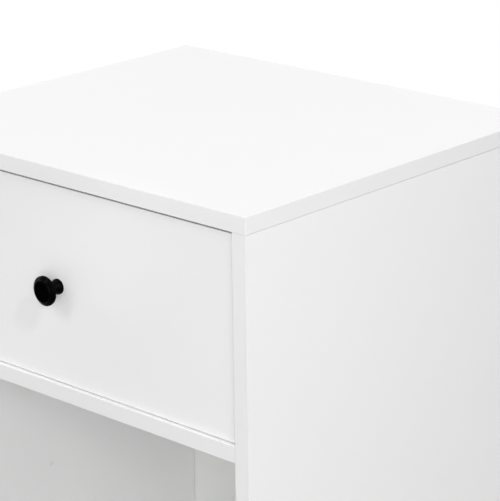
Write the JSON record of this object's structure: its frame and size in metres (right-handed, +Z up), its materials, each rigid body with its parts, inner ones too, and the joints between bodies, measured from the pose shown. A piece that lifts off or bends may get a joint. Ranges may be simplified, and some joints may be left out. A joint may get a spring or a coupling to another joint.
{
  "type": "sideboard",
  "caption": "Narrow white melamine storage cabinet with inset drawers on roller runners, black mushroom knobs, an open niche and a recessed plinth.",
  "frame": {"origin": "on the floor, under the centre of the whole part with its knobs", "axes": "+X to the viewer's right as one faces the drawers, +Y to the back, +Z up"},
  "size_m": [0.457, 0.4218, 0.8],
  "materials": {
    "white_melamine": "white melamine facing on particle board, satin, with thin white edge band",
    "drawer_board": "white foil on thin board, satin",
    "white_hardboard": "white lacquered hardboard, brown and rough on its rear side",
    "black_satin": "black satin",
    "coated_steel": "white powder coat, satin",
    "nylon": "moulded, satin",
    "zinc": "die-cast zinc and zinc-plated steel, dull",
    "glide_plastic": "moulded, matt"
  },
  "bodies": {
    "cabinet": {"top_board": "white_melamine", "left_side": "white_melamine", "right_side": "white_melamine", "drawer_shelf": "white_melamine", "niche_floor": "white_melamine", "bottom_board": "white_melamine", "plinth_board": "white_melamine", "back_panel": "white_hardboard", "top_cam_lock_left_front": "zinc", "top_cam_lock_left_rear": "zinc", "top_cam_lock_right_front": "zinc", "top_cam_lock_right_rear": "zinc", "drawer_shelf_cam_lock_left_front": "zinc", "drawer_shelf_cam_lock_left_rear": "zinc", "drawer_shelf_cam_lock_right_front": "zinc", "drawer_shelf_cam_lock_right_rear": "zinc", "niche_floor_cam_lock_left_front": "zinc", "niche_floor_cam_lock_left_rear": "zinc", "niche_floor_cam_lock_right_front": "zinc", "niche_floor_cam_lock_right_rear": "zinc", "bottom_board_cam_lock_left_front": "zinc", "bottom_board_cam_lock_left_rear": "zinc", "bottom_board_cam_lock_right_front": "zinc", "bottom_board_cam_lock_right_rear": "zinc", "glide_left_front": "glide_plastic", "glide_left_rear": "glide_plastic", "glide_right_front": "glide_plastic", "glide_right_rear": "glide_plastic", "upper_left_cabinet_runner": "coated_steel", "upper_right_cabinet_runner": "coated_steel", "lower_left_cabinet_runner": "coated_steel", "lower_right_cabinet_runner": "coated_steel"},
    "upper_drawer": {"upper_drawer_front": "white_melamine", "upper_drawer_left_side": "drawer_board", "upper_drawer_right_side": "drawer_board", "upper_drawer_back": "drawer_board", "upper_drawer_bottom": "white_hardboard", "upper_knob": "black_satin", "upper_knob_screw": "zinc", "upper_left_drawer_runner": "coated_steel", "upper_right_drawer_runner": "coated_steel"},
    "upper_left_cabinet_roller": {"upper_left_cabinet_roller": "nylon"},
    "upper_left_drawer_roller": {"upper_left_drawer_roller": "nylon"},
    "upper_right_cabinet_roller": {"upper_right_cabinet_roller": "nylon"},
    "upper_right_drawer_roller": {"upper_right_drawer_roller": "nylon"},
    "lower_drawer": {"lower_drawer_front": "white_melamine", "lower_drawer_left_side": "drawer_board", "lower_drawer_right_side": "drawer_board", "lower_drawer_back": "drawer_board", "lower_drawer_bottom": "white_hardboard", "lower_knob": "black_satin", "lower_knob_screw": "zinc", "lower_left_drawer_runner": "coated_steel", "lower_right_drawer_runner": "coated_steel"},
    "lower_left_cabinet_roller": {"lower_left_cabinet_roller": "nylon"},
    "lower_left_drawer_roller": {"lower_left_drawer_roller": "nylon"},
    "lower_right_cabinet_roller": {"lower_right_cabinet_roller": "nylon"},
    "lower_right_drawer_roller": {"lower_right_drawer_roller": "nylon"}
  },
  "joints": [
    {"name": "upper_drawer_slide", "type": "slide", "parent": "cabinet", "child": "upper_drawer", "axis": [0, -1, 0], "range_m": [0, 0.265]},
    {"name": "upper_left_cabinet_roller_turn", "type": "hinge", "parent": "cabinet", "child": "upper_left_cabinet_roller", "pos_m": [-0.20755, -0.1651, 0.6165], "axis": [1, 0, 0], "continuous": true},
    {"name": "upper_left_drawer_roller_turn", "type": "hinge", "parent": "upper_drawer", "child": "upper_left_drawer_roller", "pos_m": [-0.20695, 0.1649, 0.6165], "axis": [1, 0, 0], "continuous": true},
    {"name": "upper_right_cabinet_roller_turn", "type": "hinge", "parent": "cabinet", "child": "upper_right_cabinet_roller", "pos_m": [0.20755, -0.1651, 0.6165], "axis": [1, 0, 0], "continuous": true},
    {"name": "upper_right_drawer_roller_turn", "type": "hinge", "parent": "upper_drawer", "child": "upper_right_drawer_roller", "pos_m": [0.20695, 0.1649, 0.6165], "axis": [1, 0, 0], "continuous": true},
    {"name": "lower_drawer_slide", "type": "slide", "parent": "cabinet", "child": "lower_drawer", "axis": [0, -1, 0], "range_m": [0, 0.265]},
    {"name": "lower_left_cabinet_roller_turn", "type": "hinge", "parent": "cabinet", "child": "lower_left_cabinet_roller", "pos_m": [-0.20755, -0.1651, 0.0935], "axis": [1, 0, 0], "continuous": true},
    {"name": "lower_left_drawer_roller_turn", "type": "hinge", "parent": "lower_drawer", "child": "lower_left_drawer_roller", "pos_m": [-0.20695, 0.1649, 0.0935], "axis": [1, 0, 0], "continuous": true},
    {"name": "lower_right_cabinet_roller_turn", "type": "hinge", "parent": "cabinet", "child": "lower_right_cabinet_roller", "pos_m": [0.20755, -0.1651, 0.0935], "axis": [1, 0, 0], "continuous": true},
    {"name": "lower_right_drawer_roller_turn", "type": "hinge", "parent": "lower_drawer", "child": "lower_right_drawer_roller", "pos_m": [0.20695, 0.1649, 0.0935], "axis": [1, 0, 0], "continuous": true}
  ],
  "couplings": [
    {"joint": "upper_left_cabinet_roller_turn", "follows": "upper_drawer_slide", "rad_per_m": 111.11},
    {"joint": "upper_left_drawer_roller_turn", "follows": "upper_drawer_slide", "rad_per_m": 111.11},
    {"joint": "upper_right_cabinet_roller_turn", "follows": "upper_drawer_slide", "rad_per_m": 111.11},
    {"joint": "upper_right_drawer_roller_turn", "follows": "upper_drawer_slide", "rad_per_m": 111.11},
    {"joint": "lower_left_cabinet_roller_turn", "follows": "lower_drawer_slide", "rad_per_m": 111.11},
    {"joint": "lower_left_drawer_roller_turn", "follows": "lower_drawer_slide", "rad_per_m": 111.11},
    {"joint": "lower_right_cabinet_roller_turn", "follows": "lower_drawer_slide", "rad_per_m": 111.11},
    {"joint": "lower_right_drawer_roller_turn", "follows": "lower_drawer_slide", "rad_per_m": 111.11}
  ]
}
